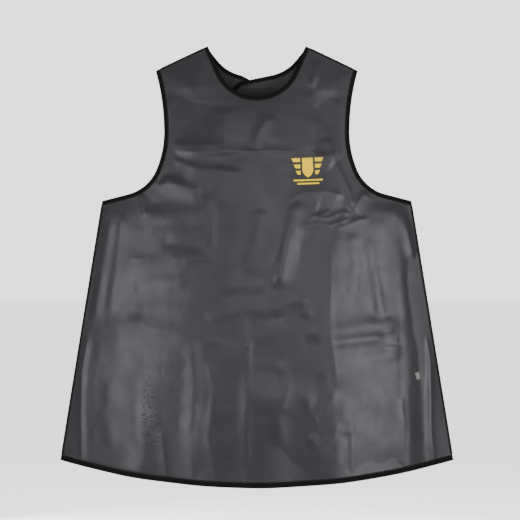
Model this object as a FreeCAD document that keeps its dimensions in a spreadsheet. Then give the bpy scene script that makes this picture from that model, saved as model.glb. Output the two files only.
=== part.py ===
"""Sleeveless x-ray protection apron: curved front panel, crossed mesh back straps, side tabs.

Frame: X to the wearer's left, Y towards the wearer's back, Z up. The origin is the middle of
the shoulder line, on the front face of the outer shell. The front panel hangs as a stack of
thin plies on one upright cylinder, so every ply is a tube wall cut to the same outline.
"""
import FreeCAD
import Part
import math
import os
import Sketcher

SIZES = {
    # upright cylinder that the panel follows, and the plies from front to back
    "front_radius": 1000, "shell_ply": 0.6, "shield_ply": 0.9, "lining_ply": 0.5, "ply_gap": 0.1,
    # binding tape
    "tape_ply": 0.6, "tape_play": 0.05,
    "neck_tape": 8.5, "armhole_tape": 9, "hem_tape": 11.5, "side_tape": 4, "seam_tape": 3.5,
    "rolled_tape": 12,
    # half outline of the panel: neckline, shoulder, armhole, side, hem
    "neck_half": 101, "neck_bend": 76, "neck_bend_drop": 57, "neck_radius": 85,
    "tip_half": 208, "tip_drop": 48, "shoulder_radius": 455,
    "chest_half": 190.7, "chest_drop": 163.3, "chest_radius": 200,
    "scoop_half": 206.5, "scoop_drop": 252.7, "scoop_radius": 86,
    "reach_half": 268.3, "reach_drop": 303.3,
    "underarm_half": 322.7, "underarm_drop": 316.3,
    "side_start": 324.3, "side_start_drop": 325.8,
    "side_foot": 412.7, "side_foot_drop": 848.3,
    "hem_half": 414.7, "hem_drop": 860.4, "hem_radius": 1908.5,
    "seam_start": 110.2, "seam_start_drop": 4.1, "seam_finish": 198.8, "seam_finish_drop": 43.9,
    # straps, seen from the side: depth behind the shoulder line at each drop
    "strap_ply": 1.6, "strap_shift": 3.6,
    "strap_top_depth": 10.4, "blade_depth": 45, "blade_drop": 98, "blade_radius": 383,
    "back_depth": 62, "back_drop": 215, "back_radius": 658,
    "loin_depth": 50, "loin_drop": 335, "loin_radius": 672,
    "end_depth": 39.2, "end_drop": 450, "strap_foot_drop": 540,
    # straps, seen from behind
    "strap_in": 102, "strap_in_drop": 1.6, "strap_out": 205, "strap_out_drop": 47.8,
    "collar": 70, "collar_drop": 39, "collar_radius": 169,
    "nape": 31, "nape_drop": 57, "nape_radius": 92,
    "lap_half": 30, "lap_drop": 69, "lap_fall": 46, "lap_fall_drop": 81, "lap_radius": 30,
    "under_lap": 55, "under_lap_drop": 102,
    "strap_edge_radius": 700, "strap_foot": 250, "strap_foot_top": 430, "strap_foot_low": 520,
    "axilla": 187, "axilla_drop": 105, "ribs": 150, "ribs_drop": 150, "axilla_radius": 60,
    "ribs_radius": 1800, "strap_tape": 8,
    # fastening at the side
    "pile_ply": 1.8, "pile_gap": 0.35, "tab_start": 250.4, "tab_finish": 318,
    "loop_start": 235, "loop_finish": 322, "loop_top": 400, "loop_low": 560,
    "hook_start": 256, "hook_finish": 311, "hook_top": 437, "hook_low": 513,
    # hanging loop behind the nape
    "hanger_half": 27, "hanger_inner": 17, "hanger_ply": 1.5, "hanger_top": 98,
    "hanger_bend": 133, "hanger_turn": 29, "hanger_inner_turn": 19, "hanger_gap": 0.5,
    "hanger_tack_low": 97.4, "hanger_tack_top": 89,
    # bar tacks where the straps cross
    "tack_half": 13, "tack_ply": 1.7, "upper_tack": 112, "lower_tack": 236, "tack_high": 4,
    # marks on the chest and the label near the side
    "print_across": 104.5, "print_drop": 249, "print_half": 33, "print_high": 20,
    "print_ply": 0.15, "print_tilt": 2.5, "shield_half": 11, "shield_flank": 8.6,
    "shield_flank_drop": 12.4, "print_space": 4, "bar_high": 8, "bar_step": 13, "bar_slant": 4,
    "line_high": 3.4, "line_half": 30, "line_low_half": 22.5, "line_step": 7,
    "label_across": 336.5, "label_drop": 680.7, "label_half": 4.6, "label_high": 7.6,
    "label_ply": 0.3, "label_tilt": 15,
}

DEEP = 260      # how far a cutting prism reaches from front to back
TALL = 1200     # height of every tube
ABOVE = 100     # how much of it is above the shoulder line

doc = FreeCAD.newDocument("ProtectionApron")
sheet = doc.addObject("Spreadsheet::Sheet", "Sizes")
parts = []

UPRIGHT = FreeCAD.Rotation(FreeCAD.Vector(1, 0, 0), 90)
SIDEWAYS = FreeCAD.Rotation(FreeCAD.Vector(1, 1, 1), 120)


def fill_sheet():
    for row, (alias, value) in enumerate(SIZES.items(), start=1):
        sheet.set(f"A{row}", alias)
        sheet.set(f"B{row}", str(value))
        sheet.setAlias(f"B{row}", alias)
    doc.recompute()


def amount(term):
    """Number held by a cell; the term is "0", an alias, or an alias after a minus sign."""
    if term == "0":
        return 0.0
    if term.startswith("-"):
        return -float(sheet.get(term[1:]))
    return float(sheet.get(term))


def cell(term):
    """The same term as an expression."""
    return "-Sizes." + term[1:] if term.startswith("-") else "Sizes." + term


def flipped(point):
    """A point of the outline on the other half of the apron."""
    across, up = point
    return (across[1:] if across.startswith("-") else "-" + across, up)


# ---------------------------------------------------------------- sketches

def new_sketch(name, turn=UPRIGHT):
    sketch = doc.addObject("Sketcher::SketchObject", name)
    sketch.Placement = FreeCAD.Placement(FreeCAD.Vector(), turn)
    return sketch


def pin_end(sketch, line, end, point):
    """Hold one end of a line or arc at a point given by two terms."""
    for kind, term in zip(("DistanceX", "DistanceY"), point):
        number = sketch.addConstraint(Sketcher.Constraint(kind, line, end, amount(term)))
        if term != "0":
            sketch.setExpression(f"Constraints[{number}]", cell(term))


def add_run(sketch, start, finish, radius=None, side=1):
    """A straight run, or an arc whose centre is on the left (side 1) or right (side -1)."""
    first = FreeCAD.Vector(amount(start[0]), amount(start[1]), 0)
    last = FreeCAD.Vector(amount(finish[0]), amount(finish[1]), 0)
    if radius is None:
        line = sketch.addGeometry(Part.LineSegment(first, last))
        pin_end(sketch, line, 1, start)
        pin_end(sketch, line, 2, finish)
        return
    chord = last - first
    left = FreeCAD.Vector(-chord.y, chord.x, 0).normalize() * side
    size = amount(radius)
    centre = (first + last) / 2 + left * math.sqrt(size ** 2 - chord.Length ** 2 / 4)
    line = sketch.addGeometry(Part.Arc(first, centre - left * size, last))
    starts = sketch.getPoint(line, 1).distanceToPoint(first) < 1e-3
    pin_end(sketch, line, 1 if starts else 2, start)
    pin_end(sketch, line, 2 if starts else 1, finish)
    number = sketch.addConstraint(Sketcher.Constraint("Radius", line, size))
    sketch.setExpression(f"Constraints[{number}]", cell(radius))


def add_runs(sketch, runs):
    for run in runs:
        add_run(sketch, *run)
    return sketch


def mirrored(runs):
    """The same runs on the other half, in the opposite order, so that they can follow on."""
    return [(flipped(run[1]), flipped(run[0])) + tuple(run[2:]) for run in reversed(runs)]


# ---------------------------------------------------------------- outlines

NECK = ("neck_half", "0")
BEND = ("neck_bend", "-neck_bend_drop")
TIP = ("tip_half", "-tip_drop")
CHEST = ("chest_half", "-chest_drop")
SCOOP = ("scoop_half", "-scoop_drop")
REACH = ("reach_half", "-reach_drop")
UNDERARM = ("underarm_half", "-underarm_drop")
HEM = ("hem_half", "-hem_drop")
SIDE_START = ("side_start", "-side_start_drop")
SIDE_FOOT = ("side_foot", "-side_foot_drop")
SEAM_START = ("seam_start", "-seam_start_drop")
SEAM_FINISH = ("seam_finish", "-seam_finish_drop")


def neck_runs():
    """Neckline from the wearer's left shoulder to the right one."""
    rise = [(NECK, BEND)]
    return rise + [(BEND, flipped(BEND), "neck_radius", -1)] + mirrored(rise)


def armhole_runs():
    """Left armhole from the shoulder tip to the underarm."""
    return [(TIP, CHEST, "shoulder_radius", 1),
            (CHEST, SCOOP, "chest_radius", 1),
            (SCOOP, REACH, "scoop_radius", 1),
            (REACH, UNDERARM)]


def outline_runs():
    left = [(NECK, TIP)] + armhole_runs() + [(UNDERARM, HEM)]
    hem = [(HEM, flipped(HEM), "hem_radius", -1)]
    return left + hem + mirrored(left) + mirrored(neck_runs())


# ---------------------------------------------------------------- solids

def offset(name, source, width, filled=False, join="Arc"):
    """A 2-D offset by an expression; filled gives the band between the two lines."""
    shifted = doc.addObject("Part::Offset2D", name)
    shifted.Source = source
    shifted.Mode = "Skin"
    shifted.Join = join
    shifted.Fill = filled
    shifted.setExpression("Value", width)
    return shifted


def edge_band(name, edge, runs, width, inward=-1):
    """Band over an open edge: a given width on the cloth and the tape's own ply outside it.

    inward is the sign of an offset that goes towards the cloth.
    """
    if len(runs) > 1 or len(runs[0]) > 2:
        outside = offset(name + "_outside", edge, f"{-inward} * Sizes.tape_ply")
        return offset(name, outside, f"{inward} * ({width} + Sizes.tape_ply)", filled=True)
    start, finish = runs[0]
    along = FreeCAD.Vector(amount(finish[0]) - amount(start[0]), 0,
                           amount(finish[1]) - amount(start[1])).normalize()
    band = doc.addObject("Part::Extrusion", name)
    band.Base = edge
    band.DirMode = "Custom"
    band.Dir = FreeCAD.Vector(along.z, 0, -along.x)
    band.setExpression("LengthFwd", width)
    band.setExpression("LengthRev", "Sizes.tape_ply")
    return band


def prism(name, base, forward=10, direction=(0, 1, 0), length=DEEP):
    body = doc.addObject("Part::Extrusion", name)
    body.Base = base
    body.DirMode = "Custom"
    body.Dir = FreeCAD.Vector(*direction)
    body.LengthFwd = length
    body.LengthRev = forward
    body.Solid = True
    return body


def cylinder(name, radius):
    round_bar = doc.addObject("Part::Cylinder", name)
    round_bar.Height = TALL
    round_bar.setExpression("Radius", radius)
    foot = FreeCAD.Vector(0, amount("front_radius"), ABOVE - TALL)
    round_bar.Placement = FreeCAD.Placement(foot, FreeCAD.Rotation())
    round_bar.setExpression("Placement.Base.y", "Sizes.front_radius")
    return round_bar


def tube(name, outer, inner):
    """Wall between two depths behind the panel's front face, given as expressions."""
    return boolean("Cut", name + "_tube",
                   cylinder(name + "_outer", f"Sizes.front_radius - ({outer})"),
                   cylinder(name + "_inner", f"Sizes.front_radius - ({inner})"))


def boolean(kind, name, base, tool):
    result = doc.addObject("Part::" + kind, name)
    result.Base = base
    result.Tool = tool
    return result


def keep(piece, name):
    """Name a finished sub-part and put it on the list that is written out."""
    piece.Label = name
    parts.append(piece)
    return piece


# ---------------------------------------------------------------- the panel's plies

PLY_DEPTHS = {
    "front_shell": ("0", "Sizes.shell_ply"),
    "shield_sheet_front": ("Sizes.shell_ply + Sizes.ply_gap",
                           "Sizes.shell_ply + Sizes.ply_gap + Sizes.shield_ply"),
    "shield_sheet_back": ("Sizes.shell_ply + 2 * Sizes.ply_gap + Sizes.shield_ply",
                          "Sizes.shell_ply + 2 * Sizes.ply_gap + 2 * Sizes.shield_ply"),
    "inner_lining": ("Sizes.shell_ply + 3 * Sizes.ply_gap + 2 * Sizes.shield_ply",
                     "Sizes.shell_ply + 3 * Sizes.ply_gap + 2 * Sizes.shield_ply"
                     " + Sizes.lining_ply"),
}
STACK = PLY_DEPTHS["inner_lining"][1]


def make_plies():
    """Shell, two shield sheets and lining, all cut to one outline; returns the space they fill."""
    outline = add_runs(new_sketch("panel_outline"), outline_runs())
    cut_out = prism("panel_prism", outline)
    for name, (front, back) in PLY_DEPTHS.items():
        keep(boolean("Common", name + "_ply", cut_out, tube(name, front, back)), name)
    wall = tube("room", "-Sizes.tape_play", f"{STACK} + Sizes.tape_play")
    return boolean("Common", "stack_room", cut_out, wall)


# ---------------------------------------------------------------- bindings on the panel

def make_binding(name, runs, front, back, legs, room, inward=-1):
    """Tape folded round an edge: a front leg and a back leg around the plies."""
    edge = add_runs(new_sketch(name + "_edge"), runs)
    halves = []
    for leg, width, wall in (("front", front, legs[0]), ("back", back, legs[1])):
        band = edge_band(f"{name}_{leg}_band", edge, runs, "Sizes." + width, inward)
        halves.append(boolean("Common", f"{name}_{leg}_leg", prism(f"{name}_{leg}_prism", band),
                              wall))
    folded = boolean("Fuse", name + "_folded", *halves)
    keep(boolean("Cut", name + "_tape", folded, room), name)


def make_bindings(room):
    middle = f"({STACK}) / 2"
    legs = (tube("front_leg", "-Sizes.tape_play - Sizes.tape_ply", middle),
            tube("back_leg", middle, f"{STACK} + Sizes.tape_play + Sizes.tape_ply"))
    armhole = armhole_runs()
    side = [(SIDE_START, SIDE_FOOT)]
    seam = [(SEAM_START, SEAM_FINISH)]
    hem = [(HEM, flipped(HEM), "hem_radius", -1)]
    make_binding("neck_binding", neck_runs(), "neck_tape", "neck_tape", legs, room, 1)
    make_binding("hem_binding", hem, "hem_tape", "hem_tape", legs, room, 1)
    for hand, turned in (("left", list), ("right", mirrored)):
        make_binding("armhole_binding_" + hand, turned(armhole), "armhole_tape",
                     "armhole_tape", legs, room)
        make_binding("side_binding_" + hand, turned(side), "side_tape", "rolled_tape",
                     legs, room)
        make_binding("shoulder_seam_tape_" + hand, turned(seam), "seam_tape", "rolled_tape",
                     legs, room)


# ---------------------------------------------------------------- flat rectangles on the panel

def rectangle_runs(left, right, low, top):
    corners = [(left, low), (right, low), (right, top), (left, top)]
    return list(zip(corners, corners[1:] + corners[:1]))


def make_patch(name, box, depths):
    """A rectangle, given by its left, right, low and top terms, on the panel's cylinder."""
    face = add_runs(new_sketch(name + "_face"), rectangle_runs(*box))
    keep(boolean("Common", name + "_patch", prism(name + "_prism", face),
                 tube(name, *depths)), name)


def make_loop_patches():
    depths = (STACK, f"{STACK} + Sizes.pile_ply")
    make_patch("loop_patch_left", ("loop_start", "loop_finish", "-loop_low", "-loop_top"),
               depths)
    make_patch("loop_patch_right", ("-loop_finish", "-loop_start", "-loop_low", "-loop_top"),
               depths)


def make_label():
    face = add_runs(new_sketch("label_face"),
                    rectangle_runs("-label_half", "label_half", "-label_high", "label_high"))
    place_mark(face, "label")
    keep(boolean("Common", "label_patch", prism("label_prism", face),
                 tube("label", "-Sizes.label_ply", "0")), "size_label")


def place_mark(sketch, mark):
    """Move a mark's sketch to its place on the panel and tilt it."""
    tilt = FreeCAD.Rotation(FreeCAD.Vector(0, 1, 0), -amount(mark + "_tilt"))
    sketch.Placement = FreeCAD.Placement(FreeCAD.Vector(), tilt.multiply(UPRIGHT))
    sketch.setExpression("Placement.Base.x", f"Sizes.{mark}_across")
    sketch.setExpression("Placement.Base.z", f"-Sizes.{mark}_drop")


def add_crest(sketch):
    """Shield with a flat top and a pointed foot."""
    half = amount("shield_half")
    high = amount("print_high")
    across = amount("shield_flank")
    drop = -amount("shield_flank_drop")
    top = FreeCAD.Vector(half, high, 0)
    waist = FreeCAD.Vector(half, 0, 0)
    foot = FreeCAD.Vector(0, -high, 0)
    other_top = FreeCAD.Vector(-half, high, 0)
    other_waist = FreeCAD.Vector(-half, 0, 0)
    sketch.addGeometry(Part.LineSegment(other_top, top))
    sketch.addGeometry(Part.LineSegment(top, waist))
    sketch.addGeometry(Part.Arc(waist, FreeCAD.Vector(across, drop, 0), foot))
    sketch.addGeometry(Part.Arc(foot, FreeCAD.Vector(-across, drop, 0), other_waist))
    sketch.addGeometry(Part.LineSegment(other_waist, other_top))


def add_bars(sketch):
    """Three slanted bars on each side of the shield, shorter towards the bottom."""
    near = amount("shield_half") + amount("print_space")
    slant = amount("bar_slant")
    for row in range(3):
        upper = amount("print_high") - row * amount("bar_step")
        lower = upper - amount("bar_high")
        far = amount("print_half") - row * slant
        for side in (-1, 1):
            add_polygon(sketch, [(side * near, upper), (side * far, upper),
                                 (side * (far - slant), lower), (side * near, lower)])


def make_print():
    """Plain mark: a shield between two stacks of bars, and two long bars under it."""
    face = new_sketch("print_face")
    add_crest(face)
    add_bars(face)
    upper = -amount("print_high") - amount("print_space")
    for reach in (amount("line_half"), amount("line_low_half")):
        lower = upper - amount("line_high")
        add_polygon(face, [(-reach, upper), (reach, upper), (reach, lower), (-reach, lower)])
        upper -= amount("line_step")
    place_mark(face, "print")
    keep(boolean("Common", "print_ink", prism("print_prism", face),
                 tube("print", "-Sizes.print_ply", "0")), "chest_print")


def add_polygon(sketch, corners):
    for first, last in zip(corners, corners[1:] + corners[:1]):
        sketch.addGeometry(Part.LineSegment(FreeCAD.Vector(*first, 0),
                                            FreeCAD.Vector(*last, 0)))


# ---------------------------------------------------------------- straps

COLLAR = ("collar", "-collar_drop")
NAPE = ("nape", "-nape_drop")
STRAP_IN = ("strap_in", "-strap_in_drop")
STRAP_OUT = ("strap_out", "-strap_out_drop")
AXILLA = ("axilla", "-axilla_drop")
RIBS = ("ribs", "-ribs_drop")
FOOT_TOP = ("-strap_foot", "-strap_foot_top")
FOOT_LOW = ("-strap_foot", "-strap_foot_low")


def collar_runs(hand):
    """Upper edge of the strap that starts on the left shoulder, from its foot upwards."""
    if hand == "left":
        lap = ("-lap_half", "-lap_drop")
        fall = ("-lap_fall", "-lap_fall_drop")
        runs = [(fall, lap, "lap_radius", -1), (lap, NAPE)]
    else:
        fall = ("-under_lap", "-under_lap_drop")
        runs = [(fall, NAPE)]
    return [(FOOT_TOP, fall, "strap_edge_radius", -1)] + runs + [
        (NAPE, COLLAR, "nape_radius", 1), (COLLAR, STRAP_IN, "collar_radius", 1)]


def rib_runs():
    """Lower edge of the same strap, from the shoulder tip down to its foot."""
    return [(STRAP_OUT, AXILLA), (AXILLA, RIBS, "axilla_radius", -1),
            (RIBS, FOOT_LOW, "ribs_radius", 1)]


def side_profile(name, outside):
    """Line of a strap seen from the side; the strap that lies outside is a little deeper."""
    sketch = new_sketch(name, SIDEWAYS)
    points = [("strap_top_depth", "0"), ("blade_depth", "-blade_drop"),
              ("back_depth", "-back_drop"), ("loin_depth", "-loin_drop"),
              ("end_depth", "-end_drop"), ("end_depth", "-strap_foot_drop")]
    bends = [(), ("blade_radius", -1), ("back_radius", -1), ("loin_radius", 1), ()]
    for start, bend in enumerate(bends):
        add_run(sketch, points[start], points[start + 1], *bend)
    if outside:
        move_back(sketch)
    return sketch


def move_back(sketch):
    """Move all of a side profile, apart from its end, back by the strap shift."""
    deeper = {"Sizes." + name + "_depth" for name in ("strap_top", "blade", "back", "loin")}
    for path, formula in list(sketch.ExpressionEngine):
        if formula in deeper:
            sketch.setExpression(path, formula + " + Sizes.strap_shift")


def strap_slab(name, profile, front, ply):
    """Wall of a given ply that follows a side profile, from some way in front of it."""
    near = offset(name + "_near", profile, front, join="Intersection") if front else profile
    wall = offset(name + "_wall", near, f"-({ply})", filled=True, join="Intersection")
    slab = prism(name + "_slab", wall, direction=(1, 0, 0))
    slab.setExpression("LengthFwd", "Sizes.strap_foot")
    slab.setExpression("LengthRev", "Sizes.strap_foot")
    return slab


def make_strap(hand):
    """Mesh strap from one shoulder to the other side, with bound edges."""
    turned = list if hand == "left" else mirrored
    top = turned([(STRAP_IN, STRAP_OUT)])
    foot = turned([(FOOT_LOW, FOOT_TOP)])
    collar = turned(collar_runs(hand))
    ribs = turned(rib_runs())
    profile = side_profile(f"strap_{hand}_side", hand == "right")
    whole = add_runs(new_sketch(f"strap_{hand}_outline"), top + collar + foot + ribs)
    mesh_slab = strap_slab(f"strap_{hand}_mesh", profile, "", "Sizes.strap_ply")
    tape_slab = strap_slab(f"strap_{hand}_tape", profile, "Sizes.tape_ply + Sizes.tape_play",
                           "Sizes.strap_ply + 2 * Sizes.tape_ply + 2 * Sizes.tape_play")
    room_slab = strap_slab(f"strap_{hand}_room", profile, "Sizes.tape_play",
                           "Sizes.strap_ply + 2 * Sizes.tape_play")
    cloth = prism(f"strap_{hand}_cloth", whole)
    room = boolean("Common", f"strap_{hand}_space", cloth, room_slab)
    keep(boolean("Common", f"strap_{hand}_ply", cloth, mesh_slab), "strap_mesh_" + hand)
    for edge, runs in (("neck", collar), ("outer", ribs)):
        line = add_runs(new_sketch(f"strap_{hand}_{edge}_line"), runs)
        band = prism(f"strap_{hand}_{edge}_prism",
                     edge_band(f"strap_{hand}_{edge}_band", line, runs, "Sizes.strap_tape"))
        tape = boolean("Common", f"strap_{hand}_{edge}_tape", band, tape_slab)
        keep(boolean("Cut", f"strap_{hand}_{edge}_cut", tape, room),
             f"strap_{edge}_binding_{hand}")
    return profile


# ---------------------------------------------------------------- what is sewn on the straps

def strap_piece(name, outline, profile, front, ply):
    """A flat piece that lies along the straps: its outline, cut from a wall behind them."""
    slab = strap_slab(name, profile, front, ply)
    return boolean("Common", name + "_piece", prism(name + "_prism", outline), slab)


def make_crossing_tacks(profile):
    """Bars of stitching that hold the two straps together where they cross."""
    rows = new_sketch("crossing_tack_rows")
    half = amount("tack_half")
    high = amount("tack_high") / 2
    for row in ("upper_tack", "lower_tack"):
        middle = -amount(row)
        add_polygon(rows, [(-half, middle + high), (half, middle + high),
                           (half, middle - high), (-half, middle - high)])
    keep(strap_piece("tack_bars", rows, profile, "-Sizes.strap_ply", "Sizes.tack_ply"),
         "crossing_bar_tacks")


def make_hanger(profile):
    """Webbing loop behind the nape, and the tacks over the binding that hold its ends."""
    outer_low = ("hanger_half", "-hanger_bend")
    inner_low = ("hanger_inner", "-hanger_bend")
    outer_top = ("hanger_half", "-hanger_top")
    inner_top = ("hanger_inner", "-hanger_top")
    leg = [(inner_low, inner_top), (inner_top, outer_top), (outer_top, outer_low)]
    bends = [(outer_low, flipped(outer_low), "hanger_turn", -1),
             (inner_low, flipped(inner_low), "hanger_inner_turn", -1)]
    webbing = add_runs(new_sketch("hanger_outline"), leg + bends + mirrored(leg))
    behind = "-Sizes.strap_ply - Sizes.hanger_gap"
    keep(strap_piece("hanger", webbing, profile, behind, "Sizes.hanger_ply"), "hang_loop")
    ends = new_sketch("hanger_tack_rows")
    for left, right in (("hanger_inner", "hanger_half"), ("-hanger_half", "-hanger_inner")):
        add_runs(ends, rectangle_runs(left, right, "-hanger_tack_low", "-hanger_tack_top"))
    blocks = strap_piece("hanger_ends", ends, profile, "-Sizes.strap_ply",
                         "Sizes.hanger_gap + Sizes.hanger_ply")
    binding = doc.getObject("strap_right_neck_cut")
    keep(boolean("Cut", "hanger_tacks", blocks, binding), "hang_loop_tacks")


def make_strap_end(hand):
    """Tab at the end of a strap, with the hook patch that faces the loop patch."""
    pile = f"{STACK} + Sizes.pile_ply + Sizes.pile_gap"
    tab_front = f"{pile} + Sizes.pile_ply"
    tab = ("tab_start", "tab_finish")
    hook = ("hook_start", "hook_finish")
    if hand == "right":
        tab = ("-tab_finish", "-tab_start")
        hook = ("-hook_finish", "-hook_start")
    make_patch("end_tab_" + hand, tab + ("-strap_foot_low", "-strap_foot_top"),
               (tab_front, f"{tab_front} + Sizes.strap_ply"))
    make_patch("hook_patch_" + hand, hook + ("-hook_low", "-hook_top"), (pile, tab_front))


# ---------------------------------------------------------------- build, check, write

def build():
    fill_sheet()
    make_bindings(make_plies())
    make_loop_patches()
    make_print()
    make_label()
    inner_profile = make_strap("left")
    outer_profile = make_strap("right")
    make_crossing_tacks(inner_profile)
    make_hanger(outer_profile)
    for hand in ("left", "right"):
        make_strap_end(hand)
    doc.recompute()


def check():
    """Stop if any object failed or any sub-part is empty, invalid or not solid."""
    for item in doc.Objects:
        if "Invalid" in item.State or "Error" in item.State:
            raise RuntimeError(f"{item.Name} did not compute: {item.State}")
    for piece in parts:
        if piece.Shape.isNull() or not piece.Shape.isValid() or piece.Shape.Volume <= 0:
            raise RuntimeError(f"{piece.Label} has no valid shape")


def write():
    os.makedirs("parts", exist_ok=True)
    for piece in parts:
        piece.Shape.exportStep(f"parts/{piece.Label}.step")
        box = piece.Shape.BoundBox
        print(f"{piece.Label:26s} {len(piece.Shape.Solids)} solid {piece.Shape.Volume:10.1f} mm3"
              f"  x {box.XMin:7.1f} {box.XMax:7.1f}  y {box.YMin:6.2f} {box.YMax:6.2f}"
              f"  z {box.ZMin:7.1f} {box.ZMax:7.1f}")


build()
check()
write()
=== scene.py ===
import bmesh, bpy, math
import numpy as np
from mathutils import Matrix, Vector, geometry, noise
from mathutils.bvhtree import BVHTree


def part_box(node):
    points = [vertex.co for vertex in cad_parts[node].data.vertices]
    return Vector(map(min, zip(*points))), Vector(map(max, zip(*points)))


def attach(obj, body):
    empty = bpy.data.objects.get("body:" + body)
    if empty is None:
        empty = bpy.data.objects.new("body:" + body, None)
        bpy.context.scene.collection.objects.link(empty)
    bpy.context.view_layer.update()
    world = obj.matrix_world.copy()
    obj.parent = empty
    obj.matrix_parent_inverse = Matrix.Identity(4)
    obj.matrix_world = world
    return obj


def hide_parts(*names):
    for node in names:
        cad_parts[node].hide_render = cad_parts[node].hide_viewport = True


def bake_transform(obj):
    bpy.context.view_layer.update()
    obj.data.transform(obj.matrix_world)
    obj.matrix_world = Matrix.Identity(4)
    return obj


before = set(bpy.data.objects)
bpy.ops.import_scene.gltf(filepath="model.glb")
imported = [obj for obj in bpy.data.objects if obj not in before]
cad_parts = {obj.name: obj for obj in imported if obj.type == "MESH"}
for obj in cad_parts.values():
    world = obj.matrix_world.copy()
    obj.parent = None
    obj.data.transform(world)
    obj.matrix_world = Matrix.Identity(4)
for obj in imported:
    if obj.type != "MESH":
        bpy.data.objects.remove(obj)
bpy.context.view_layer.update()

# Lengths are in metres, in the CAD frame: x to the wearer's left, y to the rear, z up. The panel is
# worked out flat, as points in (x, z) with a depth behind the shell's front face, and then placed.

MM = 0.001
R = 1.0                      # radius of the upright cylinder that the panel follows
SHELL, SHIELD, LINING, GAP = 0.0006, 0.0009, 0.0005, 0.0001      # thicknesses of the panel's sheets
STACK = SHELL + 2 * SHIELD + LINING + 3 * GAP
STRAP = 0.0016               # thickness of the strap mesh
PLAY, TAPE = 0.00005, 0.0006
STEPS = {"shell": 0.0039, "shield": 0.009, "lining": 0.0065, "strap": 0.0048}      # mesh sizes
STITCH, STITCH_GAP, THREAD = 0.0027, 0.0011, 0.00021
TACK_THREAD = 0.00034


# ------------------------------------------------------------------ small maths

def smooth(lo, hi, v):
    t = np.clip((v - lo) / (hi - lo), 0, 1)
    return t * t * (3 - 2 * t)


def soft_noise(p, sx, sz, seed):
    """Noise from about -1 to 1, with features sx wide and sz high."""
    return np.array([noise.fractal(Vector((x / sx, z / sz, seed)), 0.9, 2.1, 2) for x, z in p])


def cross2(a, b):
    """Cross product of vectors in the plane."""
    return a[..., 0] * b[..., 1] - a[..., 1] * b[..., 0]


def to_line(p, line):
    """Distance to a polyline, signed (left of its direction is positive), and the share of its length."""
    best = np.full(len(p), 1e9)
    signed, share = np.zeros(len(p)), np.zeros(len(p))
    lengths = np.linalg.norm(np.diff(line, axis=0), axis=1)
    total = lengths.sum()
    so_far = 0.0
    for a, b, size in zip(line[:-1], line[1:], lengths):
        d = (b - a) / size
        rel = p - a
        t = np.clip(rel @ d, 0, size)
        off = rel - t[:, None] * d
        dist = np.hypot(off[:, 0], off[:, 1])
        near = dist < best
        best = np.where(near, dist, best)
        signed = np.where(near, np.where(cross2(d, rel) >= 0, dist, -dist), signed)
        share = np.where(near, (so_far + t) / total, share)
        so_far += size
    return signed, share


def away(p, loop):
    """Distance to a closed outline."""
    closed = np.vstack([loop, loop[:1]])
    return np.abs(to_line(p, closed)[0])


def inside(p, loop):
    """Which points lie within a closed outline."""
    odd = np.zeros(len(p), bool)
    for a, b in zip(loop, np.roll(loop, -1, 0)):
        if a[1] == b[1]:
            continue
        crosses = (a[1] > p[:, 1]) != (b[1] > p[:, 1])
        at = a[0] + (p[:, 1] - a[1]) * (b[0] - a[0]) / (b[1] - a[1])
        odd ^= crosses & (p[:, 0] < at)
    return odd


# ------------------------------------------------------------------ outlines from the CAD

def outlines(node):
    """Closed outlines, in (x, z), of the front faces of a CAD node."""
    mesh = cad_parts[node].data
    keys, of_vertex = {}, []
    for v in mesh.vertices:
        key = tuple(round(c, 5) for c in v.co)
        of_vertex.append(keys.setdefault(key, len(keys)))
    points = np.array(list(keys), float)
    edges = {}
    for f in mesh.polygons:
        if f.normal.y > -0.3:
            continue
        corners = [of_vertex[i] for i in f.vertices]
        for a, b in zip(corners, corners[1:] + corners[:1]):
            if a != b:
                edges[(a, b)] = True
    border = {a: b for (a, b) in edges if (b, a) not in edges}
    loops = []
    while border:
        start, at = next(iter(border.items()))
        del border[start]
        loop = [start]
        while at != start and at in border:
            loop.append(at)
            at = border.pop(at)
        loops.append(points[loop][:, [0, 2]])
    return [lp for lp in loops if len(lp) > 2]


def corners_of(loop, sharp=30):
    """Indices where a closed outline turns by more than sharp degrees."""
    before, after = loop - np.roll(loop, 1, 0), np.roll(loop, -1, 0) - loop
    turn = np.degrees(np.arctan2(cross2(before, after), (before * after).sum(1)))
    return [i for i in range(len(loop)) if abs(turn[i]) > sharp]


def split(loop, marks):
    """The runs of a closed outline between the marked corners."""
    runs = []
    for a, b in zip(marks, marks[1:] + [marks[0] + len(loop)]):
        runs.append(loop[[i % len(loop) for i in range(a, b + 1)]])
    return runs


def anticlockwise(loop):
    """The outline, going round anticlockwise as seen from the front."""
    return loop if cross2(loop, np.roll(loop, -1, 0)).sum() > 0 else loop[::-1]


def area_of(loop):
    """Area inside a closed outline."""
    return 0.5 * abs(cross2(loop, np.roll(loop, -1, 0)).sum())


def length_of(line):
    """Length of a polyline."""
    return np.linalg.norm(np.diff(line, axis=0), axis=1).sum()


def along(line):
    """Distance travelled at each point of a polyline."""
    return np.r_[0, np.cumsum(np.linalg.norm(np.diff(line, axis=0), axis=1))]


def resample(line, step, trim=(0, 0)):
    """Points at equal steps along a polyline, with a length left off each end."""
    lengths = along(line)
    lo, hi = trim[0], lengths[-1] - trim[1]
    count = max(1, round((hi - lo) / step))
    at = np.linspace(lo, hi, count + 1)
    return np.c_[np.interp(at, lengths, line[:, 0]), np.interp(at, lengths, line[:, 1])]


def fine_loop(loop, step):
    """A closed outline at equal steps, with its sharp corners kept."""
    marks = corners_of(loop)
    if not marks:
        return resample(np.vstack([loop, loop[:1]]), step)[:-1]
    return np.vstack([resample(run, step)[:-1] for run in split(loop, marks)])


# ------------------------------------------------------------------ folds of the cloth

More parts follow.
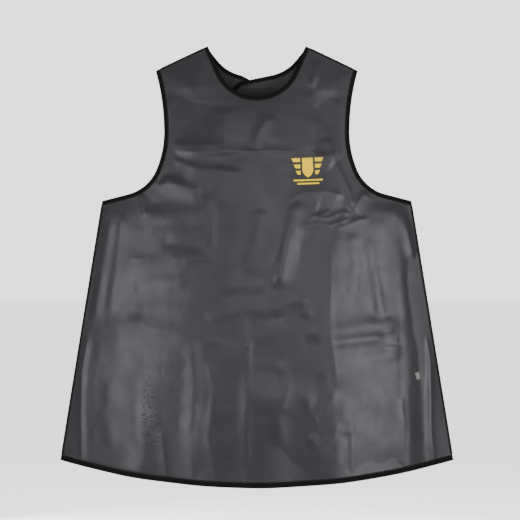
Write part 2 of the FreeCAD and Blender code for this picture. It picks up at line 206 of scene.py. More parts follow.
# Each fold of the shell, in millimetres: its line in (x, z), its height, and how far it falls off
# on the left and on the right of the line's direction. "crisp" folds have a sharp top.
FOLDS = [
    # chest
    ([(-186, -214), (-90, -219), (20, -216), (92, -218)], 1.5, 13, 5, "crisp"),
    ([(112, -84), (113, -160), (112, -226)], 1.5, 4, 16, "crisp"),
    ([(167, -100), (167, -170), (166, -236)], 2.2, 6, 12, "crisp"),
    ([(124, -30), (120, -60), (112, -86)], 2.6, 5, 8, "soft"),
    ([(-70, -122), (-66, -180), (-62, -228)], 2.2, 26, 12, "soft"),
    ([(30, -140), (8, -175), (-4, -210)], 2.0, 10, 12, "soft"),
    ([(-190, -226), (-120, -252), (-80, -255), (-20, -262)], 1.6, 7, 22, "soft"),
    ([(-196, -267), (-160, -285), (-110, -300)], 2.2, 9, 20, "soft"),
    ([(-88, -326), (-90, -372), (-92, -422)], 1.4, 4, 6, "crisp"),
    ([(146, -186), (158, -232), (140, -252)], 1.6, 6, 12, "soft"),
    ([(160, -232), (172, -262), (190, -298), (196, -336)], 2.4, 8, 7, "crisp"),
    ([(228, -296), (212, -316), (198, -340)], 1.9, 9, 6, "crisp"),
    ([(50, -324), (96, -303), (146, -299), (186, -311)], 1.6, 13, 6, "crisp"),
    ([(104, -354), (128, -346), (153, -337)], 1.5, 4, 6, "crisp"),
    ([(120, -352), (146, -352), (176, -340), (196, -344)], 1.2, 4, 5, "crisp"),
    ([(82, -371), (116, -366), (150, -368), (198, -352)], 1.5, 6, 5, "crisp"),
    ([(158, -372), (182, -368), (208, -356), (232, -352)], 1.4, 4, 9, "crisp"),
    ([(-238, -300), (-236, -330), (-228, -350)], 1.8, 6, 6, "soft"),
    # the long light band from the chest to the waist, and the valley on its left
    ([(80, -308), (68, -372), (52, -440), (38, -500)], 4.0, 22, 9, "soft"),
    ([(10, -330), (0, -400), (-22, -470)], 1.8, 20, 14, "soft"),
    ([(26, -548), (62, -530), (96, -522), (102, -546), (86, -558)], 1.6, 12, 10, "soft"),
    # left of the waist
    ([(-182, -436), (-140, -439), (-84, -436)], 1.1, 14, 5, "crisp"),
    ([(-268, -436), (-232, -437)], 0.7, 6, 3, "crisp"),
    ([(-262, -494), (-200, -486), (-140, -482)], 1.4, 18, 18, "soft"),
    ([(-276, -560), (-205, -583), (-140, -604), (-48, -604)], 1.9, 24, 12, "soft"),
    ([(-112, -562), (-60, -548), (-18, -540), (40, -546)], 1.4, 16, 12, "soft"),
    ([(-246, -636), (-222, -652), (-196, -646), (-140, -652)], 0.8, 16, 14, "soft"),
    # right of the waist
    ([(152, -372), (151, -480), (152, -586), (166, -704)], 1.1, 14, 7, "crisp"),
    ([(98, -600), (150, -590), (214, -580), (300, -577)], 1.5, 18, 16, "soft"),
    ([(116, -680), (176, -660), (236, -646), (308, -628)], 1.6, 19, 17, "soft"),
    ([(196, -380), (206, -452), (198, -520)], 1.1, 12, 14, "soft"),
    ([(230, -386), (244, -470), (258, -545), (248, -566)], 1.4, 10, 13, "soft"),
    ([(286, -586), (262, -590), (254, -600)], 0.9, 3, 4, "crisp"),
    ([(296, -606), (272, -606)], 0.8, 3, 4, "crisp"),
    ([(300, -622), (262, -617)], 0.8, 3, 4, "crisp"),
    # hanging part
    ([(-26, -540), (-20, -620), (-18, -700), (-22, -800), (-20, -902)], 2.2, 10, 13, "soft"),
    ([(-8, -606), (-20, -622)], 0.8, 6, 7, "soft"),
    ([(-140, -600), (-132, -700), (-140, -800), (-133, -896)], 0.9, 8, 12, "soft"),
    ([(-100, -640), (-86, -700), (-98, -800), (-86, -880)], 1.2, 14, 9, "soft"),
    ([(-197, -780), (-192, -832), (-184, -905)], 1.8, 5, 11, "crisp"),
    ([(-236, -660), (-246, -740), (-236, -830), (-244, -880)], 0.9, 14, 16, "soft"),
    ([(-300, -680), (-312, -760), (-300, -840)], 1.0, 14, 16, "soft"),
    ([(196, -756), (197, -820), (199, -905)], 1.3, 7, 16, "crisp"),
    ([(96, -700), (114, -756), (150, -730), (166, -700)], 1.6, 16, 12, "soft"),
    ([(104, -792), (128, -830), (158, -800), (166, -766)], 1.6, 12, 12, "soft"),
    ([(52, -640), (60, -700), (44, -760), (54, -830)], 1.6, 14, 12, "soft"),
    ([(-60, -850), (-70, -880), (-72, -900)], 1.2, 10, 9, "soft"),
    ([(300, -716), (304, -780), (300, -856)], 1.2, 6, 8, "soft"),
    ([(262, -690), (258, -770), (262, -860)], 0.8, 12, 14, "soft"),
    # along the side edges
    ([(304, -334), (320, -400), (336, -470), (348, -562)], 2.6, 6, 13, "soft"),
    ([(350, -566), (364, -650), (366, -790), (371, -850), (373, -892)], 3.0, 5, 14, "crisp"),
    ([(-298, -330), (-314, -420), (-328, -500), (-340, -580)], 1.5, 12, 10, "soft"),
    ([(-352, -582), (-368, -672), (-370, -760), (-368, -858), (-367, -892)], 2.2, 8, 5, "soft"),
    ([(-276, -330), (-290, -450), (-306, -560)], 1.4, 10, 12, "soft"),
]
# hollows, drawn the same way, that keep the shell flat on the sheets behind it
HOLLOWS = [
    ([(-120, -110), (-122, -205)], 2.0, 44, 44),
    ([(140, -110), (140, -230)], 1.8, 22, 22),
    ([(-230, -322), (-100, -326)], 1.5, 24, 24),
    ([(-4, -340), (-8, -470), (10, -505)], 1.4, 24, 24),
    ([(120, -330), (180, -345)], 1.2, 18, 18),
    ([(-200, -400), (-100, -420)], 1.4, 20, 14),
    ([(330, -420), (352, -620), (346, -860)], 2.2, 16, 22),
    ([(30, -740), (36, -860)], 1.8, 44, 44),
    ([(186, -790), (188, -880)], 0.9, 10, 14),
    ([(150, -610), (270, -598)], 1.6, 11, 11),
    ([(-150, -590), (-60, -596)], 0.8, 14, 14),
]

# flat patches between the folds: left, right, low, top and softness of the border in millimetres,
# then how far the patch turns to the viewer's right and how far it faces down in degrees
PLANES = [
    (115, 166, -235, -102, 11, 1.0, -2.0),
    (-172, -78, -212, -104, 18, -1.0, -3.0),
    (-60, 44, -224, -126, 26, 0.0, 1.6),
    (-236, -92, -350, -298, 14, 0.0, -3.0),
    (-182, -60, -436, -352, 16, 1.0, -1.6),
    (-266, -150, -520, -440, 16, 0.0, 2.0),
    (-90, 12, -500, -326, 12, -1.4, -1.2),
    (40, 98, -500, -400, 10, 2.6, -1.2),
    (18, 96, -566, -506, 9, 0.8, 3.0),
    (98, 151, -600, -376, 14, -1.3, -0.8),
    (151, 232, -560, -378, 14, 1.3, 0.6),
    (232, 300, -560, -330, 10, -1.0, 1.0),
    (104, 300, -640, -600, 14, 0.0, -2.2),
    (170, 298, -890, -668, 18, 0.8, 1.0),
    (310, 348, -884, -430, 10, 3.4, -0.8),
    (-22, 98, -896, -700, 24, -0.3, 2.4),
    (-130, -24, -890, -620, 20, 0.7, 1.0),
    (-236, -140, -880, -660, 20, 0.8, -0.6),
    (-196, -136, -896, -790, 9, 1.2, -0.5),
    (-340, -240, -560, -330, 14, 1.2, 0.8),
    (-350, -236, -892, -640, 24, 0.6, -1.4),
    (-228, -150, -262, -112, 16, 1.6, 2.2),
    (-150, -92, -300, -220, 10, 0.0, 1.4),
    (-40, 60, -300, -222, 12, 0.6, 0.8),
]


BORDER_SOFTNESS = 1.35
HEM_START = -850             # folds that end below this height, in millimetres, run out over the hem


def tilted(p, left, right, low, top, soft, turn, down):
    """A patch turned a little as one plane, with soft borders."""
    x, z = p[:, 0] / MM, p[:, 1] / MM
    soft = BORDER_SOFTNESS * soft
    within = (smooth(left - soft, left + soft, x) * smooth(right + soft, right - soft, x)
              * smooth(low - soft, low + soft, z) * smooth(top + soft, top - soft, z))
    slope = -math.tan(math.radians(turn)) * (x - (left + right) / 2)
    slope = slope + math.tan(math.radians(down)) * (z - (low + top) / 2)
    return slope * within * MM


SHELL_LOOP = anticlockwise(outlines("front_shell")[0])


def ridge(p, points, height, left, right, kind="soft"):
    """One fold along a line of points in millimetres, with its own fall-off on each side."""
    signed, share = to_line(p, np.array(points, float) * MM)
    width = np.where(signed > 0, left, right) * MM
    far = np.abs(signed) / width
    shape = np.exp(-far) if kind == "crisp" else np.exp(-far * far)
    tail = 1 if points[-1][1] < HEM_START else smooth(1, 0.84, share)
    return height * MM * shape * smooth(0, 0.16, share) * tail


def sway(p):
    """How far the whole panel swings forward in soft pleats towards the hem."""
    grow = smooth(-0.57, -0.93, p[:, 1])
    fan = p[:, 0] / (0.28 - 0.42 * p[:, 1])
    pleat = 0.55 * np.cos(17 * fan + 0.7) + 0.45 * np.cos(29 * fan - 1.1)
    return 0.0040 * grow * pleat


def rise(p):
    """Fullness, folds and soft crumple of the shell in front of the sheets behind it."""
    edge = away(p, SHELL_LOOP)
    full = 0.0030 + 0.0012 * soft_noise(p, 0.085, 0.19, 3.1) + 0.0006 * soft_noise(p, 0.06, 0.05, 8.7)
    full += 0.00010 * soft_noise(p, 0.014, 0.02, 5.5)
    full = full * smooth(-0.010, 0.085, edge) * smooth(0.001, 0.020, edge)
    lines = np.zeros(len(p))
    for fold in FOLDS:
        lines = lines + ridge(p, *fold)
    for points, depth, left, right in HOLLOWS:
        lines = lines - ridge(p, points, depth, left, right)
    for plane in PLANES:
        lines = lines + tilted(p, *plane)
    return np.maximum(full + lines * smooth(0.001, 0.014, edge), 0)


# upright folds of the lining: across, top, foot and height, in metres
LINING_FOLDS = [
    (-0.190, -0.60, -0.88, 0.0045),
    (-0.095, -0.46, -0.87, 0.0040),
    (0.020, -0.30, -0.88, 0.0050),
    (0.110, -0.58, -0.88, 0.0036),
    (0.185, -0.62, -0.87, 0.0046),
    (0.275, -0.64, -0.86, 0.0030),
    (-0.290, -0.64, -0.86, 0.0030),
]


def back_rise(p):
    """The lining's own soft folds, towards the wearer."""
    fade = smooth(0.012, 0.05, away(p, SHELL_LOOP))
    for side in (-1, 1):
        centre = np.array([0.2785 * side, -0.48])
        clear = np.maximum(np.abs(p[:, 0] - centre[0]) - 0.0435, np.abs(p[:, 1] - centre[1]) - 0.08)
        fade = fade * smooth(0.002, 0.03, clear)
    full = 0.0016 + 0.0012 * soft_noise(p, 0.09, 0.22, 11.3) + 0.0007 * soft_noise(p, 0.05, 0.07, 2.2)
    for x, top, low, height in LINING_FOLDS:
        off = (p[:, 0] - x - 0.02 * np.sin(9 * p[:, 1])) / 0.021
        ends = smooth(top, top - 0.14, p[:, 1]) * smooth(low, low + 0.1, p[:, 1])
        full += height * np.exp(-off * off) * ends
    return np.maximum(full, 0) * fade


def on_panel(p, depth):
    """Points of the panel's stack: p in (x, z) and depth behind the shell's flat front face."""
    radius = R - (depth - sway(p))
    return np.c_[p[:, 0], R - np.sqrt(radius * radius - p[:, 0] ** 2), p[:, 1]]


# ------------------------------------------------------------------ straps' surface

def side_line(node):
    """The front face of a strap seen from the side, as (z, y) from low to high."""
    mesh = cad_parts[node].data
    found = {}
    for f in mesh.polygons:
        if f.normal.y < -0.3:
            for i in f.vertices:
                v = mesh.vertices[i].co
                found[round(v.z, 4)] = v.y
    return np.array(sorted(found.items()))


SIDE_LINES = {hand: side_line("strap_mesh_" + hand) for hand in ("left", "right")}
STRAP_LOOPS = {hand: outlines("strap_mesh_" + hand)[0] for hand in ("left", "right")}
# a point of the left shoulder seam, and the direction that leads away from it down the strap
SEAM_X, SEAM_Y, SEAM_Z = 0.155, 0.02, -0.0243
DOWN_X, DOWN_Z = -0.409, -0.912
STRAP_SLACK = 0.0034


def sign_of(hand):
    return 1 if hand == "left" else -1


def below_seam(p, hand):
    """Distance from the shoulder line of a strap, towards its foot."""
    down = np.array([DOWN_X * sign_of(hand), DOWN_Z])
    seam = np.array([SEAM_X * sign_of(hand), SEAM_Z])
    return (p - seam) @ down


def strap_folds(p, hand):
    """Soft folds along a strap, from 0 to 1; none at its edges, its seams and what is sewn on it."""
    sign = sign_of(hand)
    across = (p - np.array([0.155 * sign, -0.024])) @ np.array([0.744 * sign, -0.668])
    bend = soft_noise(p, 0.13, 0.13, 4.2 if hand == "left" else 9.4)
    folds = 0.5 + 0.35 * np.cos(across / 0.0072 + 3.0 * bend) + 0.3 * bend
    clear = np.maximum(np.abs(p[:, 0]) - 0.034, np.abs(p[:, 1] + 0.165) - 0.082)
    fade = smooth(0.004, 0.026, away(p, STRAP_LOOPS[hand])) * smooth(0.0, 0.03, clear)
    fade = fade * smooth(0.012, 0.07, below_seam(p, hand)) * smooth(-0.245, -0.18, p[:, 0] * sign)
    return np.clip(folds, 0, 1) * fade


def on_strap(p, hand, depth, slack=0.0):
    """Points of a strap: depth behind its front face; its top lies on the shoulder tape's back leg."""
    z, y = SIDE_LINES[hand].T
    flat = np.interp(p[:, 1], z, y)
    top = on_panel(p, np.full(len(p), STACK + TAPE + 2 * PLAY))[:, 1]
    share = smooth(0.045, 0.010, below_seam(p, hand))
    bulge = slack * strap_folds(p, hand) if slack else 0.0
    return np.c_[p[:, 0], flat * (1 - share) + top * share + depth - sign_of(hand) * bulge, p[:, 1]]


# ------------------------------------------------------------------ meshes

def new_object(name, verts, faces, uvs=None, body="front_panel"):
    """A smooth-shaded mesh that rides on a body, or on none when its transform is to be baked into it."""
    mesh = bpy.data.meshes.new(name)
    mesh.from_pydata([tuple(v) for v in verts], [], faces)
    if uvs is not None:
        layer = mesh.uv_layers.new(name="UVMap")
        index = np.zeros(len(mesh.loops), np.int32)
        mesh.loops.foreach_get("vertex_index", index)
        layer.data.foreach_set("uv", np.asarray(uvs, np.float32)[index].ravel())
    mesh.validate()
    mesh.polygons.foreach_set("use_smooth", [True] * len(mesh.polygons))
    obj = bpy.data.objects.new(name, mesh)
    bpy.context.scene.collection.objects.link(obj)
    if body:
        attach(obj, body)
    return obj


def finish_piece(obj, material, slot, *nodes):
    """Gives a piece its material and hides the CAD nodes that it stands for; slot is not used."""
    obj.data.materials.clear()
    obj.data.materials.append(material)
    if nodes:
        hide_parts(*nodes)
    return obj


def triangulate(loop, step):
    """Points and triangles that fill an outline: its own points, then a grid of them."""
    border = fine_loop(loop, step)
    lo, hi = border.min(0), border.max(0)
    rows = np.arange(lo[1], hi[1], step * 0.866)
    grid = []
    for k, z in enumerate(rows):
        xs = np.arange(lo[0] + (k % 2) * step / 2, hi[0], step)
        grid.append(np.c_[xs, np.full(len(xs), z)])
    grid = np.vstack(grid)
    grid = grid[inside(grid, border)]
    grid = grid[away(grid, border) > 0.55 * step]
    points = np.vstack([border, grid])
    edges = [(i, (i + 1) % len(border)) for i in range(len(border))]
    made = geometry.delaunay_2d_cdt([Vector(q) for q in points], edges, [], 1, 1e-7)
    flat = np.array([tuple(v) for v in made[0]])
    faces = [list(f) for f in made[2]]
    turned = []
    for f in faces:
        a, b, c = flat[f[0]], flat[f[1]], flat[f[2]]
        turned.append(f if cross2(b - a, c - a) > 0 else f[::-1])
    every_edge = dict.fromkeys((a, b) for f in turned for a, b in zip(f, f[1:] + f[:1]))
    rim = [e for e in every_edge if (e[1], e[0]) not in every_edge]
    return flat, turned, rim


def ply(name, loops, step, front, back, material, slot, nodes=(), body="front_panel"):
    """A solid sheet between two surfaces, each a function of points in (x, z)."""
    verts, faces, uvs = [], [], []
    at = 0
    for loop in loops:
        flat, tris, rim = triangulate(loop, step)
        count = len(flat)
        verts += [front(flat), back(flat)]
        uvs += [flat, flat]
        faces += [[i + at for i in t] for t in tris]
        faces += [[i + at + count for i in t[::-1]] for t in tris]
        faces += [[b + at, a + at, a + at + count, b + at + count] for a, b in rim]
        at += 2 * count
    obj = new_object(name, np.vstack(verts), faces, np.vstack(uvs), body=body)
    return finish_piece(obj, material, slot, *nodes)


def normals_in(line):
    """Inward direction (left of travel) at each point of a polyline, widened at its bends."""
    d = np.diff(line, axis=0)
    d /= np.linalg.norm(d, axis=1)[:, None]
    left = np.c_[-d[:, 1], d[:, 0]]
    ends = np.vstack([left[:1], left, left[-1:]])
    mid = ends[:-1] + ends[1:]
    mid /= np.linalg.norm(mid, axis=1)[:, None]
    return mid / np.maximum((mid * ends[1:]).sum(1), 0.5)[:, None]


def tape_profile(front, back, thick):
    """Cross-section of a tape folded round an edge: (distance inward, depth) round the section."""
    f, b, s = front, back, thick
    out = [(f, -0.05), (f, -0.45), (f - 0.25, -0.72), (f - 0.8, -0.72), (f - 1.25, -0.60),
           (f - 1.7, -0.74), (f * 0.5, -0.98), (1.2, -0.86), (0.2, -0.66), (-0.35, -0.40),
           (-0.6, 0.1), (-0.6, s - 0.1), (-0.35, s + 0.40), (0.2, s + 0.66), (1.2, s + 0.80),
           (b * 0.5, s + 0.86), (b - 1.7, s + 0.74), (b - 1.25, s + 0.60), (b - 0.8, s + 0.72),
           (b - 0.25, s + 0.72), (b, s + 0.45), (b, s + 0.05), (0.0, s + 0.05), (-0.08, s - 0.1),
           (-0.08, 0.1), (0.0, -0.05)]
    return np.array(out) * MM


def sweep(name, line, section, place, material, slot, nodes=(), body="front_panel", wobble=0.0):
    """A section carried along a line; place(points, depth) gives the positions."""
    inward = normals_in(line)
    run = along(line)
    shake = wobble * np.array([noise.noise(Vector((s / 0.012, 2.0, 7.7))) for s in run])
    rings, uvs = [], []
    for (a, d), r in zip(section, along(section)):
        p = line + inward * (a + shake * (a > 0.002))[:, None]
        rings.append(place(p, np.full(len(p), d)))
        uvs.append(np.c_[run, np.full(len(p), r)])
    k, n = len(section), len(line)
    verts = np.stack(rings, 1).reshape(-1, 3)
    uvs = np.stack(uvs, 1).reshape(-1, 2)
    faces = []
    for i in range(n - 1):
        for j in range(k):
            m = (j + 1) % k
            faces.append([i * k + j, i * k + m, (i + 1) * k + m, (i + 1) * k + j])
    faces.append(list(range(k))[::-1])
    faces.append([(n - 1) * k + j for j in range(k)])
    obj = new_object(name, verts, faces, uvs, body=body)
    fix_normals(obj)
    return finish_piece(obj, material, slot, *nodes)


def fix_normals(obj):
    """Turns every face of a mesh outward."""
    bm = bmesh.new()
    bm.from_mesh(obj.data)
    bmesh.ops.recalc_face_normals(bm, faces=bm.faces)
    bm.to_mesh(obj.data)
    bm.free()


def rod(verts, faces, a, b, profile, size, sides=6):
    """A round thread from a to b; profile gives its width at shares of its length."""
    way = Vector(b - a).normalized()
    side = way.cross(Vector((0, 1, 0))).normalized()
    up = side.cross(way)
    at = len(verts)
    turns = [2 * math.pi * s / sides for s in range(sides)]
    for share, wide in profile:
        centre = Vector(a).lerp(Vector(b), share)
        verts += [centre + (side * math.cos(t) + up * math.sin(t)) * size * wide for t in turns]
    for ring in range(len(profile) - 1):
        q = at + ring * sides
        for s in range(sides):
            m = (s + 1) % sides
            faces.append([q + s, q + m, q + sides + m, q + sides + s])
    last = at + (len(profile) - 1) * sides
    faces.append([at + s for s in range(sides)][::-1])
    faces.append([last + s for s in range(sides)])


def thread_object(name, verts, faces, body, *nodes):
    """A piece made of threads."""
    obj = new_object(name, verts, faces, body=body)
    fix_normals(obj)
    return finish_piece(obj, MAT["thread"], "thread", *nodes)


def stitches(name, runs, body="front_panel"):
    """Short threads laid end to end along lines of points in space."""
    verts, faces = [], []
    profile = ((0.0, 0.05), (0.12, 0.75), (0.3, 1.0), (0.7, 1.0), (0.88, 0.75), (1.0, 0.05))
    pitch = STITCH + STITCH_GAP
    for run in runs:
        d = along(run)
        for k in range(int(d[-1] / pitch)):
            a, b = k * pitch, k * pitch + STITCH
            p = np.array([[np.interp(t, d, run[:, c]) for c in range(3)] for t in (a, b)])
            rod(verts, faces, p[0], p[1], profile, THREAD)
    return thread_object(name, verts, faces, body)


def bar_tack(name, bars, place, body, nodes, count=34):
    """Satin stitching: over each bar (left, right, low, top), a thread that goes up and down across it."""
    verts, faces = [], []
    for left, right, low, top in bars:
        zs = np.where(np.arange(count) % 2 == 0, low, top)
        run = place(np.c_[np.linspace(left, right, count), zs])
        for a, b in zip(run[:-1], run[1:]):
            rod(verts, faces, a, b, ((0, 1), (1, 1)), TACK_THREAD)
    return thread_object(name, verts, faces, body, *nodes)


# ------------------------------------------------------------------ materials

def shader(name, colour, rough, specular=0.5):
    """A new material, its node tree and its surface shader."""
    mat = bpy.data.materials.new(name)
    mat.use_nodes = True
    node = mat.node_tree.nodes["Principled BSDF"]
    node.inputs["Base Color"].default_value = (*colour, 1)
    node.inputs["Roughness"].default_value = rough
    node.inputs["Specular IOR Level"].default_value = specular
    return mat, mat.node_tree, node


def add(tree, kind, **inputs):
    """A node with values set on its inputs."""
    node = tree.nodes.new(kind)
    for key, value in inputs.items():
        node.inputs[key.replace("_", " ")].default_value = value
    return node


def coords(tree, scale):
    """Flat coordinates of a piece, in metres, times a scale."""
    where = tree.nodes.new("ShaderNodeTexCoord")
    mapping = tree.nodes.new("ShaderNodeMapping")
    mapping.inputs["Scale"].default_value = scale
    tree.links.new(where.outputs["UV"], mapping.inputs["Vector"])
    return mapping.outputs["Vector"]


def noise_at(tree, scale, detail=2.0):
    """Noise with scale cells to the metre along each axis."""
    node = add(tree, "ShaderNodeTexNoise", Scale=1.0, Detail=detail)
    tree.links.new(coords(tree, scale), node.inputs["Vector"])
    return node.outputs["Fac"]


def ramp(tree, value, low, high, lo_at=0.3, hi_at=0.7):
    """A colour that goes from low to high with a value."""
    node = tree.nodes.new("ShaderNodeValToRGB")
    node.color_ramp.elements[0].position = lo_at
    node.color_ramp.elements[1].position = hi_at
    node.color_ramp.elements[0].color = (*low, 1)
    node.color_ramp.elements[1].color = (*high, 1)
    tree.links.new(value, node.inputs["Fac"])
    return node.outputs["Color"]


def vary(tree, node, socket, value, low, high):
    """Lets a noise value carry a socket between low and high."""
    spread = add(tree, "ShaderNodeMapRange", From_Min=0.3, From_Max=0.7, To_Min=low, To_Max=high)
    tree.links.new(value, spread.inputs["Value"])
    tree.links.new(spread.outputs["Result"], node.inputs[socket])


def bump(tree, node, heights):
    """Chain of bumps; heights is a list of (socket, strength, distance)."""
    last = None
    for value, strength, distance in heights:
        layer = add(tree, "ShaderNodeBump", Strength=strength, Distance=distance)
        tree.links.new(value, layer.inputs["Height"])
        if last is not None:
            tree.links.new(last, layer.inputs["Normal"])
        last = layer.outputs["Normal"]
    tree.links.new(last, node.inputs["Normal"])


def wave(tree, scale, bands):
    """Straight bands across one axis."""
    node = add(tree, "ShaderNodeTexWave", Scale=1.0)
    node.wave_type = "BANDS"
    node.bands_direction = bands
    tree.links.new(coords(tree, scale), node.inputs["Vector"])
    return node.outputs["Fac"]


def both(tree, a, b, operation):
    """Two values joined by one operation."""
    node = tree.nodes.new("ShaderNodeMath")
    node.operation = operation
    tree.links.new(a, node.inputs[0])
    tree.links.new(b, node.inputs[1])
    return node.outputs["Value"]


def scuffs(tree, centre, reach):
    """Small pits of one worn patch: 0 outside it, up to 1 in a pit."""
    patch = tree.nodes.new("ShaderNodeTexGradient")
    patch.gradient_type = "SPHERICAL"
    place = tree.nodes.new("ShaderNodeMapping")
    place.inputs["Scale"].default_value = (1 / reach[0], 1 / reach[1], 1)
    place.inputs["Location"].default_value = (-centre[0] / reach[0], -centre[1] / reach[1], 0)
    where = tree.nodes.new("ShaderNodeTexCoord")
    tree.links.new(where.outputs["UV"], place.inputs["Vector"])
    tree.links.new(place.outputs["Vector"], patch.inputs["Vector"])
    dots = ramp(tree, noise_at(tree, (270, 200, 270), 1), (0, 0, 0), (1, 1, 1), 0.61, 0.66)
    return both(tree, patch.outputs["Fac"], dots, "MULTIPLY")


def vinyl():
    """Satin vinyl: cloudy tone, uneven sheen, grain, crumple and one pitted patch."""
    mat, tree, node = shader("shell_vinyl", (0.003, 0.0027, 0.0035), 0.35, 0.155)
    node.inputs["Specular Tint"].default_value = (0.975, 0.945, 1.0, 1)
    grain = noise_at(tree, (900, 900, 900), 3)
    cloud = noise_at(tree, (9, 6, 9), 3)
    tone = ramp(tree, cloud, (0.0024, 0.0022, 0.0028), (0.0040, 0.0037, 0.0045))
    tree.links.new(tone, node.inputs["Base Color"])
    vary(tree, node, "Roughness", noise_at(tree, (22, 15, 22), 4), 0.30, 0.40)
    crumple = noise_at(tree, (75, 55, 75), 4)
    pits = scuffs(tree, (-0.2165, -0.767), (0.026, 0.095))
    bump(tree, node, [(crumple, 0.3, 0.0009), (grain, 0.25, 0.00012), (pits, 1.0, -0.0022)])
    return mat


def weave(name, colour, rough, pitch, depth=0.0002, specular=0.35):
    """Plain weave with threads pitch apart."""
    mat, tree, node = shader(name, colour, rough, specular)
    f = 1 / pitch
    over = both(tree, wave(tree, (f, f, f), "X"), wave(tree, (f, f, f), "Y"), "MULTIPLY")
    light = tuple(min(1, c * 1.5) for c in colour)
    tone = ramp(tree, noise_at(tree, (300, 300, 300), 3), colour, light)
    tree.links.new(tone, node.inputs["Base Color"])
    bump(tree, node, [(noise_at(tree, (60, 60, 60), 3), 0.2, 0.0006), (over, 0.5, depth)])
    return mat


def tape():
    """Ribbed binding tape."""
    mat, tree, node = shader("binding_tape", (0.0015, 0.0015, 0.0017), 0.75, 0.025)
    ribs = wave(tree, (160, 160, 160), "X")
    yarn = noise_at(tree, (500, 900, 500), 3)
    tone = ramp(tree, yarn, (0.0008, 0.0008, 0.0010), (0.0022, 0.0022, 0.0024))
    tree.links.new(tone, node.inputs["Base Color"])
    bump(tree, node, [(ribs, 0.45, 0.00018), (noise_at(tree, (1400, 1400, 1400), 2), 0.3, 0.00008)])
    return mat


def open_mesh():
    """Spacer mesh: rows of oval holes, offset by half a step, with painted shade darkening their depths."""
    mat, tree, node = shader("mesh_cloth", (0.003, 0.003, 0.0032), 0.6, 0.08)
    near = []
    for shift in (0.0, 0.5):
        cell = add(tree, "ShaderNodeTexVoronoi", Scale=1.0, Randomness=0.0)
        cell.voronoi_dimensions = "2D"
        mapping = tree.nodes.new("ShaderNodeMapping")
        mapping.inputs["Scale"].default_value = (300, 173, 1)
        mapping.inputs["Location"].default_value = (shift, shift, 0)
        where = tree.nodes.new("ShaderNodeTexCoord")
        tree.links.new(where.outputs["UV"], mapping.inputs["Vector"])
        tree.links.new(mapping.outputs["Vector"], cell.inputs["Vector"])
        near.append(cell.outputs["Distance"])
    hole = both(tree, near[0], near[1], "MINIMUM")
    # painted shade: the tone goes from light to near black, the near black standing for shade in the mesh's
    # depths
    tone = ramp(tree, hole, (0.034, 0.034, 0.0355), (0.0008, 0.0008, 0.0009), 0.18, 0.28)
    tree.links.new(tone, node.inputs["Base Color"])
    rim = add(tree, "ShaderNodeMapRange", From_Min=0.16, From_Max=0.30, To_Min=0.0, To_Max=1.0)
    tree.links.new(hole, rim.inputs["Value"])
    fuzz = noise_at(tree, (1500, 1500, 1500), 2)
    bump(tree, node, [(rim.outputs["Result"], 0.8, 0.0006), (fuzz, 0.3, 0.0001)])
    return mat


def pile(name, colour, size, depth):
    """Hook or loop pile, with size tufts to the metre."""
    mat, tree, node = shader(name, colour, 0.85, 0.08)
    cell = add(tree, "ShaderNodeTexVoronoi", Scale=1.0)
    tree.links.new(coords(tree, (size, size, size)), cell.inputs["Vector"])
    light = tuple(c * 2.4 for c in colour)
    tree.links.new(ramp(tree, cell.outputs["Distance"], light, colour, 0.1, 0.6), node.inputs["Base Color"])
    fuzz = noise_at(tree, (1800, 1800, 1800), 3)
    bump(tree, node, [(cell.outputs["Distance"], 1.0, depth), (fuzz, 0.5, 0.0002)])
    return mat


def plain(name, colour, rough, grain=1200, depth=0.00008, specular=0.45):
    """A fine-grained surface with a slight change of tone."""
    mat, tree, node = shader(name, colour, rough, specular)
    light = tuple(min(1, c * 1.12) for c in colour)
    tree.links.new(ramp(tree, noise_at(tree, (grain / 3,) * 3, 3), colour, light), node.inputs["Base Color"])
    bump(tree, node, [(noise_at(tree, (grain,) * 3, 2), 0.3, depth)])
    return mat


MAT = {
    "shell": vinyl(),
    "shield": plain("shield_vinyl", (0.07, 0.07, 0.075), 0.7, specular=0.2),
    "lining": weave("lining_cloth", (0.0080, 0.0080, 0.0087), 0.36, 0.0011, specular=0.28),
    "tape": tape(),
    "mesh": open_mesh(),
    "loop": pile("pile_loop", (0.0045, 0.0045, 0.005), 700, 0.0008),
    "hook": pile("pile_hook", (0.006, 0.006, 0.0065), 900, 0.0006),
    "webbing": weave("webbing", (0.017, 0.017, 0.018), 0.6, 0.0021, 0.0004, 0.12),
    "thread": plain("thread", (0.022, 0.022, 0.023), 0.5, 2500, 0.0001, 0.15),
    "ink": plain("print_ink", (0.30, 0.205, 0.0), 0.7, specular=0.02),
    "label": weave("label_cloth", (0.040, 0.038, 0.035), 0.6, 0.0007, 0.00008, 0.2),
}


# ------------------------------------------------------------------ the panel

SHELL_RUNS = split(SHELL_LOOP, corners_of(SHELL_LOOP))


def run_between(test):
    """The longest run of the shell's outline whose middle passes a test of (x, z)."""
    return max((r for r in SHELL_RUNS if test(*r[len(r) // 2])), key=length_of)


def level(depth):
    return lambda p: on_panel(p, np.full(len(p), depth))


def shell_front(p):
    return on_panel(p, -rise(p))


def shell_back(p):
    return on_panel(p, SHELL - rise(p))


def lining_back(p):
    return on_panel(p, STACK + back_rise(p))


def lining_front(p):
    return on_panel(p, STACK - LINING + back_rise(p))


shell = ply("outer_shell", [SHELL_LOOP], STEPS["shell"], shell_front, shell_back, MAT["shell"],
            "shell_vinyl", ["front_shell"])
depth = SHELL + GAP
for side in ("front", "back"):
    ply("shield_" + side, [SHELL_LOOP], STEPS["shield"], level(depth), level(depth + SHIELD), MAT["shield"],
        "shield_vinyl", ["shield_sheet_" + side])
    depth += SHIELD + GAP
lining = ply("lining", [SHELL_LOOP], STEPS["lining"], lining_front, lining_back, MAT["lining"],
             "lining_cloth", ["inner_lining"])


